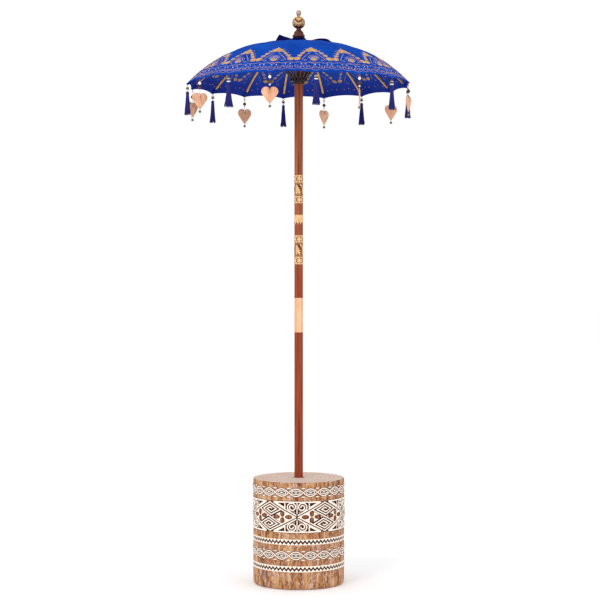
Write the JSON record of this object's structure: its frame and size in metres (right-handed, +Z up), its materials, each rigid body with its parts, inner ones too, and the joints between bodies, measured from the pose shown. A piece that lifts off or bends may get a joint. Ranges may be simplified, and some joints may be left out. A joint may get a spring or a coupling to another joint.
{
  "type": "oil paper umbrella",
  "caption": "Ceremonial garden umbrella: folding ribbed canopy with hearts and tassels on a two-piece pole in a heavy carved drum base.",
  "frame": {"origin": "centre of the drum's underside, on the pole's axis", "axes": "+Z up along the pole; -Y is the side seen from the front"},
  "size_m": [0.9959, 1.0003, 2.515],
  "materials": {
    "carved_wood": "limewashed carved, satin",
    "pole_wood": "varnished, satin",
    "ferrule_brass": "brushed rose brass",
    "dark_wood": "stained, satin",
    "thread": "waxed thread",
    "latch_steel": "plain steel",
    "painted_cloth": "woven cotton with gold paint, matte",
    "navy_cloth": "woven cotton, matte",
    "gilt_wood": "gold paint over wood, semi-gloss",
    "gilt_bamboo": "gold paint over bamboo, satin",
    "heart_wood": "polished pale wood",
    "tassel_thread": "cotton thread, matte"
  },
  "bodies": {
    "drum": {"base_drum": "carved_wood"},
    "lower_pole": {"lower_pole": "pole_wood"},
    "ferrule": {"ferrule": "ferrule_brass"},
    "upper_pole": {"upper_pole": "pole_wood", "top_notch": "dark_wood", "notch_thread": "thread", "canopy": "painted_cloth", "crown_tie": "navy_cloth"},
    "finial": {"finial": "gilt_wood"},
    "latch": {"spring_latch": "latch_steel"},
    "runner": {"runner": "dark_wood", "runner_thread": "thread"},
    "rib_1": {"rib_1": "gilt_bamboo"},
    "stretcher_1": {"stretcher_1": "dark_wood"},
    "tassel_1": {"tassel_1": "tassel_thread"},
    "rib_2": {"rib_2": "gilt_bamboo"},
    "stretcher_2": {"stretcher_2": "dark_wood"},
    "heart_drop_2": {"heart_drop_2": "heart_wood"},
    "rib_3": {"rib_3": "gilt_bamboo"},
    "stretcher_3": {"stretcher_3": "dark_wood"},
    "tassel_3": {"tassel_3": "tassel_thread"},
    "rib_4": {"rib_4": "gilt_bamboo"},
    "stretcher_4": {"stretcher_4": "dark_wood"},
    "heart_drop_4": {"heart_drop_4": "heart_wood"},
    "rib_5": {"rib_5": "gilt_bamboo"},
    "stretcher_5": {"stretcher_5": "dark_wood"},
    "tassel_5": {"tassel_5": "tassel_thread"},
    "rib_6": {"rib_6": "gilt_bamboo"},
    "stretcher_6": {"stretcher_6": "dark_wood"},
    "heart_drop_6": {"heart_drop_6": "heart_wood"},
    "rib_7": {"rib_7": "gilt_bamboo"},
    "stretcher_7": {"stretcher_7": "dark_wood"},
    "tassel_7": {"tassel_7": "tassel_thread"},
    "rib_8": {"rib_8": "gilt_bamboo"},
    "stretcher_8": {"stretcher_8": "dark_wood"},
    "heart_drop_8": {"heart_drop_8": "heart_wood"},
    "rib_9": {"rib_9": "gilt_bamboo"},
    "stretcher_9": {"stretcher_9": "dark_wood"},
    "tassel_9": {"tassel_9": "tassel_thread"},
    "rib_10": {"rib_10": "gilt_bamboo"},
    "stretcher_10": {"stretcher_10": "dark_wood"},
    "heart_drop_10": {"heart_drop_10": "heart_wood"},
    "rib_11": {"rib_11": "gilt_bamboo"},
    "stretcher_11": {"stretcher_11": "dark_wood"},
    "tassel_11": {"tassel_11": "tassel_thread"},
    "rib_12": {"rib_12": "gilt_bamboo"},
    "stretcher_12": {"stretcher_12": "dark_wood"},
    "heart_drop_12": {"heart_drop_12": "heart_wood"},
    "rib_13": {"rib_13": "gilt_bamboo"},
    "stretcher_13": {"stretcher_13": "dark_wood"},
    "tassel_13": {"tassel_13": "tassel_thread"},
    "rib_14": {"rib_14": "gilt_bamboo"},
    "stretcher_14": {"stretcher_14": "dark_wood"},
    "heart_drop_14": {"heart_drop_14": "heart_wood"},
    "rib_15": {"rib_15": "gilt_bamboo"},
    "stretcher_15": {"stretcher_15": "dark_wood"},
    "tassel_15": {"tassel_15": "tassel_thread"},
    "rib_16": {"rib_16": "gilt_bamboo"},
    "stretcher_16": {"stretcher_16": "dark_wood"},
    "heart_drop_16": {"heart_drop_16": "heart_wood"}
  },
  "joints": [
    {"name": "pole_lift_out", "type": "slide", "parent": "drum", "child": "lower_pole", "axis": [0, 0, 1], "range_m": [0, 0.3]},
    {"name": "ferrule_swivel", "type": "hinge", "parent": "lower_pole", "child": "ferrule", "pos_m": [0, 0, 1.1775], "axis": [0, 0, 1], "continuous": true},
    {"name": "upper_pole_lift_out", "type": "slide", "parent": "ferrule", "child": "upper_pole", "axis": [0, 0, 1], "range_m": [0, 0.075]},
    {"name": "finial_lift_off", "type": "slide", "parent": "upper_pole", "child": "finial", "axis": [0, 0, 1], "range_m": [0, 0.04]},
    {"name": "latch_press", "type": "hinge", "parent": "upper_pole", "child": "latch", "pos_m": [0, 0.01, 2.13], "axis": [1, 0, 0], "range_deg": [0, 6.2], "stiffness_Nm_per_rad": 0.6, "springref_deg": -11.46},
    {"name": "runner_slide", "type": "slide", "parent": "upper_pole", "child": "runner", "axis": [0, 0, -1], "range_m": [0, 0.13094], "deforming": ["canopy", "runner_thread", "spring_latch"]},
    {"name": "rib_1_fold", "type": "hinge", "parent": "upper_pole", "child": "rib_1", "pos_m": [0.02967, 0.00443, 2.36682], "axis": [-0.1478, 0.989, 0], "range_deg": [0, 57.5]},
    {"name": "stretcher_1_fold", "type": "hinge", "parent": "rib_1", "child": "stretcher_1", "pos_m": [0.14835, 0.02217, 2.36013], "axis": [-0.1478, 0.989, 0], "range_deg": [-78.99, 0]},
    {"name": "tassel_1_hang", "type": "hinge", "parent": "rib_1", "child": "tassel_1", "pos_m": [0.48363, 0.07228, 2.18388], "axis": [-0.1478, 0.989, 0], "range_deg": [-57.5, 0]},
    {"name": "rib_2_fold", "type": "hinge", "parent": "upper_pole", "child": "rib_2", "pos_m": [0.02571, 0.01545, 2.36682], "axis": [-0.515, 0.8572, 0], "range_deg": [0, 57.5]},
    {"name": "stretcher_2_fold", "type": "hinge", "parent": "rib_2", "child": "stretcher_2", "pos_m": [0.12857, 0.07726, 2.36013], "axis": [-0.515, 0.8572, 0], "range_deg": [-78.99, 0]},
    {"name": "heart_drop_2_hang", "type": "hinge", "parent": "rib_2", "child": "heart_drop_2", "pos_m": [0.41915, 0.25185, 2.18388], "axis": [-0.515, 0.8572, 0], "range_deg": [-57.5, 0]},
    {"name": "rib_3_fold", "type": "hinge", "parent": "upper_pole", "child": "rib_3", "pos_m": [0.01784, 0.02412, 2.36682], "axis": [-0.8039, 0.5948, 0], "range_deg": [0, 57.5]},
    {"name": "stretcher_3_fold", "type": "hinge", "parent": "rib_3", "child": "stretcher_3", "pos_m": [0.08922, 0.12058, 2.36013], "axis": [-0.8039, 0.5948, 0], "range_deg": [-78.99, 0]},
    {"name": "tassel_3_hang", "type": "hinge", "parent": "rib_3", "child": "tassel_3", "pos_m": [0.29087, 0.39309, 2.18388], "axis": [-0.8039, 0.5948, 0], "range_deg": [-57.5, 0]},
    {"name": "rib_4_fold", "type": "hinge", "parent": "upper_pole", "child": "rib_4", "pos_m": [0.00726, 0.02911, 2.36682], "axis": [-0.9703, 0.2419, 0], "range_deg": [0, 57.5]},
    {"name": "stretcher_4_fold", "type": "hinge", "parent": "rib_4", "child": "stretcher_4", "pos_m": [0.03629, 0.14554, 2.36013], "axis": [-0.9703, 0.2419, 0], "range_deg": [-78.99, 0]},
    {"name": "heart_drop_4_hang", "type": "hinge", "parent": "rib_4", "child": "heart_drop_4", "pos_m": [0.1183, 0.47447, 2.18388], "axis": [-0.9703, 0.2419, 0], "range_deg": [-57.5, 0]},
    {"name": "rib_5_fold", "type": "hinge", "parent": "upper_pole", "child": "rib_5", "pos_m": [-0.00443, 0.02967, 2.36682], "axis": [-0.989, -0.1478, 0], "range_deg": [0, 57.5]},
    {"name": "stretcher_5_fold", "type": "hinge", "parent": "rib_5", "child": "stretcher_5", "pos_m": [-0.02217, 0.14835, 2.36013], "axis": [-0.989, -0.1478, 0], "range_deg": [-78.99, 0]},
    {"name": "tassel_5_hang", "type": "hinge", "parent": "rib_5", "child": "tassel_5", "pos_m": [-0.07228, 0.48363, 2.18388], "axis": [-0.989, -0.1478, 0], "range_deg": [-57.5, 0]},
    {"name": "rib_6_fold", "type": "hinge", "parent": "upper_pole", "child": "rib_6", "pos_m": [-0.01545, 0.02571, 2.36682], "axis": [-0.8572, -0.515, 0], "range_deg": [0, 57.5]},
    {"name": "stretcher_6_fold", "type": "hinge", "parent": "rib_6", "child": "stretcher_6", "pos_m": [-0.07726, 0.12857, 2.36013], "axis": [-0.8572, -0.515, 0], "range_deg": [-78.99, 0]},
    {"name": "heart_drop_6_hang", "type": "hinge", "parent": "rib_6", "child": "heart_drop_6", "pos_m": [-0.25185, 0.41915, 2.18388], "axis": [-0.8572, -0.515, 0], "range_deg": [-57.5, 0]},
    {"name": "rib_7_fold", "type": "hinge", "parent": "upper_pole", "child": "rib_7", "pos_m": [-0.02412, 0.01784, 2.36682], "axis": [-0.5948, -0.8039, 0], "range_deg": [0, 57.5]},
    {"name": "stretcher_7_fold", "type": "hinge", "parent": "rib_7", "child": "stretcher_7", "pos_m": [-0.12058, 0.08922, 2.36013], "axis": [-0.5948, -0.8039, 0], "range_deg": [-78.99, 0]},
    {"name": "tassel_7_hang", "type": "hinge", "parent": "rib_7", "child": "tassel_7", "pos_m": [-0.39309, 0.29087, 2.18388], "axis": [-0.5948, -0.8039, 0], "range_deg": [-57.5, 0]},
    {"name": "rib_8_fold", "type": "hinge", "parent": "upper_pole", "child": "rib_8", "pos_m": [-0.02911, 0.00726, 2.36682], "axis": [-0.2419, -0.9703, 0], "range_deg": [0, 57.5]},
    {"name": "stretcher_8_fold", "type": "hinge", "parent": "rib_8", "child": "stretcher_8", "pos_m": [-0.14554, 0.03629, 2.36013], "axis": [-0.2419, -0.9703, 0], "range_deg": [-78.99, 0]},
    {"name": "heart_drop_8_hang", "type": "hinge", "parent": "rib_8", "child": "heart_drop_8", "pos_m": [-0.47447, 0.1183, 2.18388], "axis": [-0.2419, -0.9703, 0], "range_deg": [-57.5, 0]},
    {"name": "rib_9_fold", "type": "hinge", "parent": "upper_pole", "child": "rib_9", "pos_m": [-0.02967, -0.00443, 2.36682], "axis": [0.1478, -0.989, 0], "range_deg": [0, 57.5]},
    {"name": "stretcher_9_fold", "type": "hinge", "parent": "rib_9", "child": "stretcher_9", "pos_m": [-0.14835, -0.02217, 2.36013], "axis": [0.1478, -0.989, 0], "range_deg": [-78.99, 0]},
    {"name": "tassel_9_hang", "type": "hinge", "parent": "rib_9", "child": "tassel_9", "pos_m": [-0.48363, -0.07228, 2.18388], "axis": [0.1478, -0.989, 0], "range_deg": [-57.5, 0]},
    {"name": "rib_10_fold", "type": "hinge", "parent": "upper_pole", "child": "rib_10", "pos_m": [-0.02571, -0.01545, 2.36682], "axis": [0.515, -0.8572, 0], "range_deg": [0, 57.5]},
    {"name": "stretcher_10_fold", "type": "hinge", "parent": "rib_10", "child": "stretcher_10", "pos_m": [-0.12857, -0.07726, 2.36013], "axis": [0.515, -0.8572, 0], "range_deg": [-78.99, 0]},
    {"name": "heart_drop_10_hang", "type": "hinge", "parent": "rib_10", "child": "heart_drop_10", "pos_m": [-0.41915, -0.25185, 2.18388], "axis": [0.515, -0.8572, 0], "range_deg": [-57.5, 0]},
    {"name": "rib_11_fold", "type": "hinge", "parent": "upper_pole", "child": "rib_11", "pos_m": [-0.01784, -0.02412, 2.36682], "axis": [0.8039, -0.5948, 0], "range_deg": [0, 57.5]},
    {"name": "stretcher_11_fold", "type": "hinge", "parent": "rib_11", "child": "stretcher_11", "pos_m": [-0.08922, -0.12058, 2.36013], "axis": [0.8039, -0.5948, 0], "range_deg": [-78.99, 0]},
    {"name": "tassel_11_hang", "type": "hinge", "parent": "rib_11", "child": "tassel_11", "pos_m": [-0.29087, -0.39309, 2.18388], "axis": [0.8039, -0.5948, 0], "range_deg": [-57.5, 0]},
    {"name": "rib_12_fold", "type": "hinge", "parent": "upper_pole", "child": "rib_12", "pos_m": [-0.00726, -0.02911, 2.36682], "axis": [0.9703, -0.2419, 0], "range_deg": [0, 57.5]},
    {"name": "stretcher_12_fold", "type": "hinge", "parent": "rib_12", "child": "stretcher_12", "pos_m": [-0.03629, -0.14554, 2.36013], "axis": [0.9703, -0.2419, 0], "range_deg": [-78.99, 0]},
    {"name": "heart_drop_12_hang", "type": "hinge", "parent": "rib_12", "child": "heart_drop_12", "pos_m": [-0.1183, -0.47447, 2.18388], "axis": [0.9703, -0.2419, 0], "range_deg": [-57.5, 0]},
    {"name": "rib_13_fold", "type": "hinge", "parent": "upper_pole", "child": "rib_13", "pos_m": [0.00443, -0.02967, 2.36682], "axis": [0.989, 0.1478, 0], "range_deg": [0, 57.5]},
    {"name": "stretcher_13_fold", "type": "hinge", "parent": "rib_13", "child": "stretcher_13", "pos_m": [0.02217, -0.14835, 2.36013], "axis": [0.989, 0.1478, 0], "range_deg": [-78.99, 0]},
    {"name": "tassel_13_hang", "type": "hinge", "parent": "rib_13", "child": "tassel_13", "pos_m": [0.07228, -0.48363, 2.18388], "axis": [0.989, 0.1478, 0], "range_deg": [-57.5, 0]},
    {"name": "rib_14_fold", "type": "hinge", "parent": "upper_pole", "child": "rib_14", "pos_m": [0.01545, -0.02571, 2.36682], "axis": [0.8572, 0.515, 0], "range_deg": [0, 57.5]},
    {"name": "stretcher_14_fold", "type": "hinge", "parent": "rib_14", "child": "stretcher_14", "pos_m": [0.07726, -0.12857, 2.36013], "axis": [0.8572, 0.515, 0], "range_deg": [-78.99, 0]},
    {"name": "heart_drop_14_hang", "type": "hinge", "parent": "rib_14", "child": "heart_drop_14", "pos_m": [0.25185, -0.41915, 2.18388], "axis": [0.8572, 0.515, 0], "range_deg": [-57.5, 0]},
    {"name": "rib_15_fold", "type": "hinge", "parent": "upper_pole", "child": "rib_15", "pos_m": [0.02412, -0.01784, 2.36682], "axis": [0.5948, 0.8039, 0], "range_deg": [0, 57.5]},
    {"name": "stretcher_15_fold", "type": "hinge", "parent": "rib_15", "child": "stretcher_15", "pos_m": [0.12058, -0.08922, 2.36013], "axis": [0.5948, 0.8039, 0], "range_deg": [-78.99, 0]},
    {"name": "tassel_15_hang", "type": "hinge", "parent": "rib_15", "child": "tassel_15", "pos_m": [0.39309, -0.29087, 2.18388], "axis": [0.5948, 0.8039, 0], "range_deg": [-57.5, 0]},
    {"name": "rib_16_fold", "type": "hinge", "parent": "upper_pole", "child": "rib_16", "pos_m": [0.02911, -0.00726, 2.36682], "axis": [0.2419, 0.9703, 0], "range_deg": [0, 57.5]},
    {"name": "stretcher_16_fold", "type": "hinge", "parent": "rib_16", "child": "stretcher_16", "pos_m": [0.14554, -0.03629, 2.36013], "axis": [0.2419, 0.9703, 0], "range_deg": [-78.99, 0]},
    {"name": "heart_drop_16_hang", "type": "hinge", "parent": "rib_16", "child": "heart_drop_16", "pos_m": [0.47447, -0.1183, 2.18388], "axis": [0.2419, 0.9703, 0], "range_deg": [-57.5, 0]}
  ],
  "couplings": [
    {"joint": "rib_1_fold", "follows": "runner_slide", "rad_per_m": 7.5979},
    {"joint": "stretcher_1_fold", "follows": "runner_slide", "rad_per_m": -10.462},
    {"joint": "tassel_1_hang", "follows": "runner_slide", "rad_per_m": -7.5979},
    {"joint": "rib_2_fold", "follows": "runner_slide", "rad_per_m": 7.5979},
    {"joint": "stretcher_2_fold", "follows": "runner_slide", "rad_per_m": -10.462},
    {"joint": "heart_drop_2_hang", "follows": "runner_slide", "rad_per_m": -7.5979},
    {"joint": "rib_3_fold", "follows": "runner_slide", "rad_per_m": 7.5979},
    {"joint": "stretcher_3_fold", "follows": "runner_slide", "rad_per_m": -10.462},
    {"joint": "tassel_3_hang", "follows": "runner_slide", "rad_per_m": -7.5979},
    {"joint": "rib_4_fold", "follows": "runner_slide", "rad_per_m": 7.5979},
    {"joint": "stretcher_4_fold", "follows": "runner_slide", "rad_per_m": -10.462},
    {"joint": "heart_drop_4_hang", "follows": "runner_slide", "rad_per_m": -7.5979},
    {"joint": "rib_5_fold", "follows": "runner_slide", "rad_per_m": 7.5979},
    {"joint": "stretcher_5_fold", "follows": "runner_slide", "rad_per_m": -10.462},
    {"joint": "tassel_5_hang", "follows": "runner_slide", "rad_per_m": -7.5979},
    {"joint": "rib_6_fold", "follows": "runner_slide", "rad_per_m": 7.5979},
    {"joint": "stretcher_6_fold", "follows": "runner_slide", "rad_per_m": -10.462},
    {"joint": "heart_drop_6_hang", "follows": "runner_slide", "rad_per_m": -7.5979},
    {"joint": "rib_7_fold", "follows": "runner_slide", "rad_per_m": 7.5979},
    {"joint": "stretcher_7_fold", "follows": "runner_slide", "rad_per_m": -10.462},
    {"joint": "tassel_7_hang", "follows": "runner_slide", "rad_per_m": -7.5979},
    {"joint": "rib_8_fold", "follows": "runner_slide", "rad_per_m": 7.5979},
    {"joint": "stretcher_8_fold", "follows": "runner_slide", "rad_per_m": -10.462},
    {"joint": "heart_drop_8_hang", "follows": "runner_slide", "rad_per_m": -7.5979},
    {"joint": "rib_9_fold", "follows": "runner_slide", "rad_per_m": 7.5979},
    {"joint": "stretcher_9_fold", "follows": "runner_slide", "rad_per_m": -10.462},
    {"joint": "tassel_9_hang", "follows": "runner_slide", "rad_per_m": -7.5979},
    {"joint": "rib_10_fold", "follows": "runner_slide", "rad_per_m": 7.5979},
    {"joint": "stretcher_10_fold", "follows": "runner_slide", "rad_per_m": -10.462},
    {"joint": "heart_drop_10_hang", "follows": "runner_slide", "rad_per_m": -7.5979},
    {"joint": "rib_11_fold", "follows": "runner_slide", "rad_per_m": 7.5979},
    {"joint": "stretcher_11_fold", "follows": "runner_slide", "rad_per_m": -10.462},
    {"joint": "tassel_11_hang", "follows": "runner_slide", "rad_per_m": -7.5979},
    {"joint": "rib_12_fold", "follows": "runner_slide", "rad_per_m": 7.5979},
    {"joint": "stretcher_12_fold", "follows": "runner_slide", "rad_per_m": -10.462},
    {"joint": "heart_drop_12_hang", "follows": "runner_slide", "rad_per_m": -7.5979},
    {"joint": "rib_13_fold", "follows": "runner_slide", "rad_per_m": 7.5979},
    {"joint": "stretcher_13_fold", "follows": "runner_slide", "rad_per_m": -10.462},
    {"joint": "tassel_13_hang", "follows": "runner_slide", "rad_per_m": -7.5979},
    {"joint": "rib_14_fold", "follows": "runner_slide", "rad_per_m": 7.5979},
    {"joint": "stretcher_14_fold", "follows": "runner_slide", "rad_per_m": -10.462},
    {"joint": "heart_drop_14_hang", "follows": "runner_slide", "rad_per_m": -7.5979},
    {"joint": "rib_15_fold", "follows": "runner_slide", "rad_per_m": 7.5979},
    {"joint": "stretcher_15_fold", "follows": "runner_slide", "rad_per_m": -10.462},
    {"joint": "tassel_15_hang", "follows": "runner_slide", "rad_per_m": -7.5979},
    {"joint": "rib_16_fold", "follows": "runner_slide", "rad_per_m": 7.5979},
    {"joint": "stretcher_16_fold", "follows": "runner_slide", "rad_per_m": -10.462},
    {"joint": "heart_drop_16_hang", "follows": "runner_slide", "rad_per_m": -7.5979}
  ]
}
